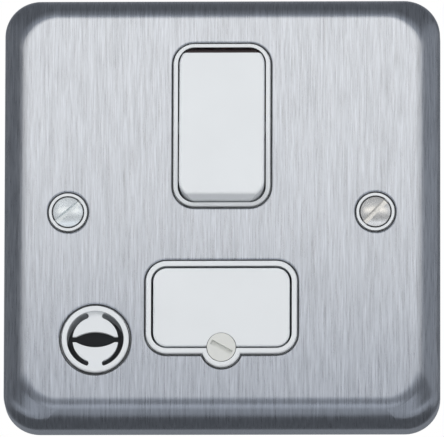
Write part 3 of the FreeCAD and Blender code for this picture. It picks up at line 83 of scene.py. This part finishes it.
class Graph:
    """A material's node graph with one Principled shader."""

    def __init__(self, name):
        self.material = bpy.data.materials.new(name)
        self.material.use_nodes = True
        self.tree = self.material.node_tree
        self.shader = self.tree.nodes["Principled BSDF"]
        self.place = self.add("ShaderNodeTexCoord").outputs["Object"]

    def add(self, kind, inputs=None, **settings):
        node = self.tree.nodes.new(kind)
        for name, value in settings.items():
            setattr(node, name, value)
        for name, value in (inputs or {}).items():
            if isinstance(value, bpy.types.NodeSocket):
                self.tree.links.new(value, node.inputs[name])
            else:
                node.inputs[name].default_value = value
        return node

    def set(self, **sockets):
        for name, value in sockets.items():
            self.shader.inputs[name.replace("_", " ")].default_value = value

    def join(self, output, socket):
        self.tree.links.new(output, self.shader.inputs[socket])

    def base_colour(self):
        """The output that colours the surface so far."""
        return self.shader.inputs["Base Color"].links[0].from_socket

    def split(self, vector):
        """The X, Y and Z of a vector."""
        return self.add("ShaderNodeSeparateXYZ", {"Vector": vector}).outputs

    def math(self, operation, one, other=0.0):
        return self.add("ShaderNodeMath", {0: one, 1: other}, operation=operation).outputs[0]

    def diagonal(self, one, other):
        """The distance that two distances at a right angle make."""
        squares = [self.math("MULTIPLY", side, side) for side in (one, other)]
        return self.math("SQRT", self.math("ADD", *squares))

    def noise(self, stretch, detail=2.0, roughness=0.5):
        """Noise with this many features a metre along X, Y and Z."""
        spread = self.add("ShaderNodeMapping", {"Vector": self.place, "Scale": stretch})
        made = self.add("ShaderNodeTexNoise", {
            "Vector": spread.outputs[0], "Scale": 1.0, "Detail": detail, "Roughness": roughness})
        return made.outputs["Fac"]

    def between(self, factor, low, high, start=NOISE_LOW, end=NOISE_HIGH, **settings):
        """A number that goes from low to high while a factor goes from start to end."""
        made = self.add("ShaderNodeMapRange", {
            "Value": factor, "From Min": start, "From Max": end, "To Min": low, "To Max": high}, **settings)
        return made.outputs[0]

    def mix(self, factor, one, other):
        """A colour between two others."""
        made = self.add("ShaderNodeMix", data_type="RGBA")
        for index, value in ((0, factor), (6, one), (7, other)):
            if isinstance(value, bpy.types.NodeSocket):
                self.tree.links.new(value, made.inputs[index])
            else:
                made.inputs[index].default_value = value if index == 0 else (*value[:3], 1)
        return made.outputs[2]

    def shade(self, colour, factor, spread):
        """A colour that is a little darker and lighter with a factor."""
        return self.mix(factor, [c * (1 - spread) for c in colour], [c * (1 + spread) for c in colour])

    def bump(self, height, distance, strength=1.0):
        made = self.add("ShaderNodeBump", {"Height": height, "Distance": distance, "Strength": strength})
        self.join(made.outputs[0], "Normal")


# The plate's flat ends where its edge starts to roll, and a soft shoulder leads into that roll.
# The shoulder is wider below than above, so the flat's middle lies a little above the plate's.
FLAT_MARGIN = 3.6 * MILLIMETRE
FLAT_CORNER = 7.0 * MILLIMETRE
FLAT_LIFT = 0.75 * MILLIMETRE
SHOULDER_START = -1.9 * MILLIMETRE
SHOULDER_END = 3.1 * MILLIMETRE
SHOULDER_DROP = 0.78 * MILLIMETRE

# The outer roll and the cut-outs' edges get painted shade: their colour is darkened, standing for the dark
# surroundings that they reflect
ROLL_PAINTED_SHADE = 0.45
CUT_EDGE_PAINTED_SHADE = 0.2
EDGE_SHADE_START = -1.2 * MILLIMETRE
EDGE_SHADE_END = 0.7 * MILLIMETRE
FLAT_FACING = 0.985
EDGE_FACING = 0.75

# Brush marks run along Z: fine hairs, and wider marks under them
HAIRS = (4400, 500, 190)
MARKS = (2300, 300, 90)
HAIR_SHARE = 0.75
HAIR_DEPTH = 0.0014 * MILLIMETRE
STEEL = (0.725, 0.745, 0.778)
STEEL_SPREAD = 0.29
STEEL_SMOOTHEST = 0.25
STEEL_ROUGHEST = 0.35
BRUSHING = 0.75
ACROSS_THE_MARKS = {"X": 1.0, "Y": 0.02, "Z": 0.0}


def outside(graph, half_width, half_height, middle, corner):
    """How far a place lies outside a rounded rectangle in the XZ plane."""
    place = graph.split(graph.place)
    reaches = []
    for axis, centre, half in (("X", 0.0, half_width), ("Z", middle, half_height)):
        from_centre = graph.math("ABSOLUTE", graph.math("SUBTRACT", place[axis], centre))
        reaches.append(graph.math("MAXIMUM", graph.math("SUBTRACT", from_centre, half - corner), 0.0))
    return graph.math("SUBTRACT", graph.diagonal(*reaches), corner)


def painted_edge_shade(graph, past):
    """One on the flat, less on the outer roll, least on the stamped edges of the cut-outs: painted shade,
    darkening the colour where these edges would reflect dark surroundings.
    """
    normal = graph.add("ShaderNodeNewGeometry").outputs["Normal"]
    facing = graph.math("ABSOLUTE", graph.split(normal)["Y"])
    cut_edge_shade = graph.between(facing, CUT_EDGE_PAINTED_SHADE, 1.0, EDGE_FACING, FLAT_FACING)
    roll_shade = graph.between(past, 1.0, ROLL_PAINTED_SHADE, EDGE_SHADE_START, EDGE_SHADE_END)
    on_roll = graph.between(past, 0.0, 1.0, EDGE_SHADE_START, EDGE_SHADE_END)
    return graph.math("MINIMUM", roll_shade, graph.math("MAXIMUM", cut_edge_shade, on_roll))


def brushed_plate():
    """Sheet steel brushed along Z: reflections spread across the brush marks."""
    graph = Graph("brushed_plate")
    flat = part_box("front_plate")[1].x - FLAT_MARGIN
    past = outside(graph, flat, flat, FLAT_LIFT, FLAT_CORNER)
    hairs = graph.noise(HAIRS, detail=3.0, roughness=0.6)
    marks = graph.math("MULTIPLY", graph.noise(MARKS), 1 - HAIR_SHARE)
    grain = graph.math("ADD", graph.math("MULTIPLY", hairs, HAIR_SHARE), marks)
    steel = graph.shade(STEEL, graph.between(grain, 0, 1), STEEL_SPREAD)
    # Painted shade on the rolled and cut edges darkens the brushed steel's colour
    graph.join(graph.mix(painted_edge_shade(graph, past), BLACK, steel), "Base Color")
    graph.join(graph.between(hairs, STEEL_SMOOTHEST, STEEL_ROUGHEST), "Roughness")
    graph.join(graph.add("ShaderNodeCombineXYZ", ACROSS_THE_MARKS).outputs[0], "Tangent")
    graph.set(Metallic=1.0, Anisotropic=BRUSHING)
    shoulder = graph.between(
        past, 0.0, -SHOULDER_DROP, SHOULDER_START, SHOULDER_END, interpolation_type="SMOOTHERSTEP")
    graph.bump(graph.math("ADD", shoulder, graph.math("MULTIPLY", hairs, HAIR_DEPTH)), 1.0)
    return graph.material


PLASTIC_CLOUD = (90, 90, 90)
PLASTIC_SPREAD = 0.015
PLASTIC_SKIN = (2600, 2600, 2600)
PLASTIC_IOR = 1.5


def plastic(name, colour, roughness, grain):
    """Moulded plastic: even in colour, with a fine grain in its skin."""
    graph = Graph(name)
    cloud = graph.noise(PLASTIC_CLOUD)
    graph.join(graph.shade(colour, graph.between(cloud, 0, 1), PLASTIC_SPREAD), "Base Color")
    graph.join(graph.between(cloud, roughness * 0.9, roughness * 1.15), "Roughness")
    graph.set(IOR=PLASTIC_IOR)
    graph.bump(graph.noise(PLASTIC_SKIN), grain, strength=0.5)
    return graph


TOOL_MARKS = (1400, 2600, 1800)
METAL_CLOUD = (260, 260, 260)


def metal(name, colour, roughness, spread=0.06, depth=5 * MICROMETRE, polish=1.0):
    """Plated or bare metal with faint tool marks."""
    graph = Graph(name)
    marks = graph.noise(TOOL_MARKS, detail=3.0)
    cloud = graph.noise(METAL_CLOUD)
    graph.join(graph.shade(colour, graph.between(cloud, 0, 1), spread), "Base Color")
    graph.join(graph.between(marks, roughness * 0.8, roughness * 1.3), "Roughness")
    graph.set(Metallic=polish)
    graph.bump(marks, depth, strength=0.4)
    return graph


def nickel(name, colour, roughness, polish=1.0):
    """Smooth nickel plate: the lower its polish, the duller it is from handling."""
    return metal(name, colour, roughness, spread=0.02, depth=1 * MICROMETRE, polish=polish)


HEAD_ROUGHNESS = 0.24
RIM_SHADOW_WIDTH = 0.24 * MILLIMETRE
RIM_SHADOW_BLUR = 0.10 * MILLIMETRE
RIM_PAINTED_SHADOW = 0.06


def nickel_with_rim_shadow(name, node, colour, polish):
    """Nickel plate, with a painted shadow at the rim of a screw's head, standing for the dark gap round the
    head.
    """
    graph = nickel(name, colour, HEAD_ROUGHNESS, polish)
    low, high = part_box(node)
    place = graph.split(graph.place)
    across = graph.math("SUBTRACT", place["X"], (low.x + high.x) / 2)
    up = graph.math("SUBTRACT", place["Z"], (low.z + high.z) / 2)
    rim = (high.x - low.x) / 2 - RIM_SHADOW_WIDTH
    # Painted shadow: a dark ring at the head's rim, in place of the gap's shade
    rim_shadow = graph.between(graph.diagonal(across, up), 1.0, RIM_PAINTED_SHADOW, rim, rim + RIM_SHADOW_BLUR)
    graph.join(graph.mix(rim_shadow, BLACK, graph.base_colour()), "Base Color")
    return graph.material


WHITE = (0.812, 0.842, 0.868)
WHITE_ROUGHNESS = 0.22
WHITE_GRAIN = 3 * MICROMETRE
STRIPE_RED = (0.45, 0.012, 0.018)
STRIPE_REACH = 0.9 * MILLIMETRE
STRIPE_FRONT = -8.2 * MILLIMETRE
STRIPE_REAR = -5.5 * MILLIMETRE
PAINTED_GAP_SHADOW = (0.018, 0.009, 0.010)
GAP_SHADOW_REACH = 1.07 * MILLIMETRE
GAP_SHADOW_EDGE = 0.03 * MILLIMETRE
ROCKER_CORNER = 3.3 * MILLIMETRE


def rocker_plastic():
    """White, with a red stripe across the upper end, which stands out only when the switch is on,
    and a painted shadow where that end meets the face, standing for the dark gap there."""
    graph = plastic("rocker_white", WHITE, WHITE_ROUGHNESS, WHITE_GRAIN)
    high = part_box("rocker")[1]
    place = graph.split(graph.place)
    on_end = graph.math("GREATER_THAN", place["Z"], high.z - STRIPE_REACH)
    behind = graph.math("GREATER_THAN", place["Y"], STRIPE_FRONT)
    before = graph.math("LESS_THAN", place["Y"], STRIPE_REAR)
    stripe = graph.math("MULTIPLY", on_end, graph.math("MULTIPLY", behind, before))
    striped = graph.mix(stripe, graph.base_colour(), STRIPE_RED)
    # Only the upper end of this rectangle crosses the rocker
    past_face = outside(graph, high.x, high.z - GAP_SHADOW_REACH, 0.0, ROCKER_CORNER)
    in_front = graph.math("LESS_THAN", place["Y"], STRIPE_FRONT)
    # Painted shadow: a dark band along the face's top edge, standing for the shaded gap above the rocker
    gap_shadow = graph.math("MULTIPLY", in_front, graph.math("GREATER_THAN", past_face, GAP_SHADOW_EDGE))
    graph.join(graph.mix(gap_shadow, striped, PAINTED_GAP_SHADOW), "Base Color")
    return graph.material


MATERIALS = {
    "brushed_plate": brushed_plate(),
    "white_plastic": plastic("white_plastic", WHITE, WHITE_ROUGHNESS, WHITE_GRAIN).material,
    "dark_plastic": plastic("dark_plastic", (0.165, 0.168, 0.178), 0.5, 15 * MICROMETRE).material,
    "natural_plastic": plastic("natural_plastic", (0.72, 0.70, 0.62), 0.4, 6 * MICROMETRE).material,
    "brass": metal("brass", (0.72, 0.52, 0.22), 0.3, spread=0.1).material,
    "silver": metal("silver", (0.86, 0.85, 0.83), 0.25).material,
    "spring_steel": metal("spring_steel", (0.42, 0.42, 0.44), 0.3).material,
    "nickel_plate": nickel("nickel_plate", (0.96, 0.955, 0.93), 0.3).material,
    "zinc_screw": metal("zinc_screw", (0.62, 0.63, 0.65), 0.32).material,
    "fuse_ceramic": plastic("fuse_ceramic", (0.78, 0.75, 0.68), 0.3, 4 * MICROMETRE).material,
}
FINISHES = {
    "rocker": rocker_plastic(),
    "carrier_screw": nickel("satin_nickel", (0.96, 0.96, 0.90), 0.35, polish=0.7).material,
    # Painted reflection: both fixing screws are one nickel, tinted cool and warm and given different polish
    # to copy the reflections each head shows
    "fixing_screw_left": nickel_with_rim_shadow("nickel_painted_cool_reflection", "fixing_screw_left", (0.93, 0.97, 0.97), 0.6),
    "fixing_screw_right": nickel_with_rim_shadow("nickel_painted_warm_reflection", "fixing_screw_right", (0.96, 0.93, 0.87), 0.85),
}

for entry in frame["record"]["subparts"]:
    node = nodes[entry["node"]]
    node.data.materials.clear()
    node.data.materials.append(FINISHES.get(entry["node"], MATERIALS[entry["material_slot"]]))


def pressed_spring(joint):
    """A plunger's coil spring, as its own copy of the mesh, carried on the joint's parent body in place of
    the CAD node.
    """
    name = joint["deforming_nodes"][0]["node"]
    spring = bpy.data.objects.new("coil_" + name, nodes[name].data.copy())
    bpy.context.scene.collection.objects.link(spring)
    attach(spring, joint["parent"])
    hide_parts(name)
    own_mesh(spring)


for joint in frame["joints"]:
    if joint.get("deforming_nodes"):
        pressed_spring(joint)


# Surroundings: a pale floor far below, and cards that only reflections show

def card(name, centre, width, height, facing, finish):
    """A flat sheet of the studio."""
    mesh = bpy.data.meshes.new(name)
    a, b = width / 2, height / 2
    mesh.from_pydata([(-a, -b, 0), (a, -b, 0), (a, b, 0), (-a, b, 0)], [], [(0, 1, 2, 3)])
    made = bpy.data.objects.new(name, mesh)
    made.location = centre
    made.rotation_mode = "QUATERNION"
    made.rotation_quaternion = Vector(facing).to_track_quat("Z", "Y")
    mesh.materials.append(finish)
    bpy.context.scene.collection.objects.link(made)
    return made


def paper(name, colour):
    """Plain paper, a little uneven."""
    graph = Graph(name)
    graph.join(graph.shade(colour, graph.noise((3, 3, 3)), 0.02), "Base Color")
    graph.set(Roughness=0.8)
    return graph.material


def lit_cloth(name, colour):
    """A backlit cloth, a little uneven, whose brightness is its colour."""
    graph = Graph(name)
    graph.join(graph.shade(colour, graph.noise((6, 6, 6)), 0.03), "Emission Color")
    graph.set(Base_Color=(*BLACK, 1), Specular_IOR_Level=0, Emission_Strength=1)
    return graph.material


FLOOR_LEVEL = -2.6
FLOOR_SIZE = 24
FLOOR_COLOUR = (0.90, 0.90, 0.90)
card("floor", (0, 0, FLOOR_LEVEL), FLOOR_SIZE, FLOOR_SIZE, (0, 0, 1), paper("pale_floor", FLOOR_COLOUR))

# Cards: name, centre, width, height, the way it faces, brightness
CARD_TINT = (0.93, 1.0, 1.13)
CARDS = (
    ("card_top", (0, -0.825, 0.55), 2.4, 0.75, (0, 0, -1), 0.38),
    ("card_overhead", (0, -0.075, 0.55), 2.4, 0.75, (0, 0, -1), 0.25),
    ("card_bottom", (0, 0.07, -0.30), 1.8, 0.64, (0, 0, 1), 0.19),
    ("card_left", (-0.75, -0.35, 0.05), 1.2, 1.5, (1, 0, 0), 0.31),
    ("card_right", (0.75, -0.35, 0.05), 1.2, 1.5, (-1, 0, 0), 0.58),
    ("card_front", (0, -0.45, 0.03), 1.4, 0.06, (0, 1, 0), 0.44),
    ("card_low_front", (0, -0.45, -0.095), 1.4, 0.19, (0, 1, 0), 0.24),
    ("card_low_middle", (0, -0.45, -0.255), 1.4, 0.13, (0, 1, 0), 0.90),
    ("card_low_rear", (0, -0.35, -0.30), 1.8, 0.20, (0, 0, 1), 0.60),
    ("card_behind", (0, 0.60, 0), 3.0, 3.0, (0, -1, 0), 0.31),
)
for name, centre, width, height, facing, grey in CARDS:
    made = card(name, centre, width, height, facing, lit_cloth(name, [grey * c for c in CARD_TINT]))
    made.visible_camera = False
    made.visible_diffuse = False
    made.visible_shadow = False

DAYLIGHT = 0.59
WHITE_BACKGROUND = 1.0


def studio_world():
    """Soft daylight, which the camera, reflections and glass see as a white background."""
    world = bpy.data.worlds.new("studio")
    world.use_nodes = True
    bpy.context.scene.world = world
    tree = world.node_tree
    background = tree.nodes["Background"]
    background.inputs["Color"].default_value = (1.0, 1.0, 1.0, 1)
    rays = tree.nodes.new("ShaderNodeLightPath")
    seen = rays.outputs["Is Camera Ray"]
    for other in ("Is Glossy Ray", "Is Transmission Ray"):
        either = tree.nodes.new("ShaderNodeMath")
        either.operation = "MAXIMUM"
        tree.links.new(seen, either.inputs[0])
        tree.links.new(rays.outputs[other], either.inputs[1])
        seen = either.outputs[0]
    level = tree.nodes.new("ShaderNodeMapRange")
    level.inputs["To Min"].default_value = DAYLIGHT
    level.inputs["To Max"].default_value = WHITE_BACKGROUND
    tree.links.new(seen, level.inputs["Value"])
    tree.links.new(level.outputs[0], background.inputs["Strength"])


studio_world()

# Soft square lamps aimed at the middle of the unit: name, place, watts
LAMP_SIZE = 0.6
LAMPS = (
    ("key", (-0.45, -0.85, 0.75), 4.1),
    ("fill", (0.55, -0.90, 0.20), 1.5),
    ("low", (0.10, -0.80, -0.50), 0.5),
    ("rear_key", (-0.50, 0.75, 0.60), 4.0),
    ("rear_fill", (0.70, 0.60, -0.10), 1.6),
)
for name, place, watts in LAMPS:
    data = bpy.data.lights.new(name, "AREA")
    data.size = LAMP_SIZE
    data.energy = watts
    lamp = bpy.data.objects.new(name, data)
    lamp.location = place
    lamp.rotation_mode = "QUATERNION"
    lamp.rotation_quaternion = (-Vector(place)).to_track_quat("-Z", "Y")
    lamp.visible_glossy = False
    bpy.context.scene.collection.objects.link(lamp)


# Camera, as in the photograph: from slightly below and to the right, from far away

AZIMUTH = math.radians(1.5)
ELEVATION = math.radians(-10.5)
ROLL = math.radians(0.15)
DISTANCE = 3.0
FRAME_WIDTH = 0.08704
AIM = Vector((0.00006, -0.009, -0.00127))

camera = bpy.data.objects.new("camera", bpy.data.cameras.new("camera"))
bpy.context.scene.collection.objects.link(camera)
level_reach = math.cos(ELEVATION)
back = Vector((math.sin(AZIMUTH) * level_reach, -math.cos(AZIMUTH) * level_reach, math.sin(ELEVATION)))
camera.location = AIM + back * DISTANCE
camera.rotation_mode = "QUATERNION"
camera.rotation_quaternion = (-back).to_track_quat("-Z", "Y") @ Quaternion((0, 0, 1), ROLL)
camera.data.lens = camera.data.sensor_width * DISTANCE / FRAME_WIDTH
bpy.context.scene.camera = camera
bpy.context.scene.view_settings.view_transform = "Standard"
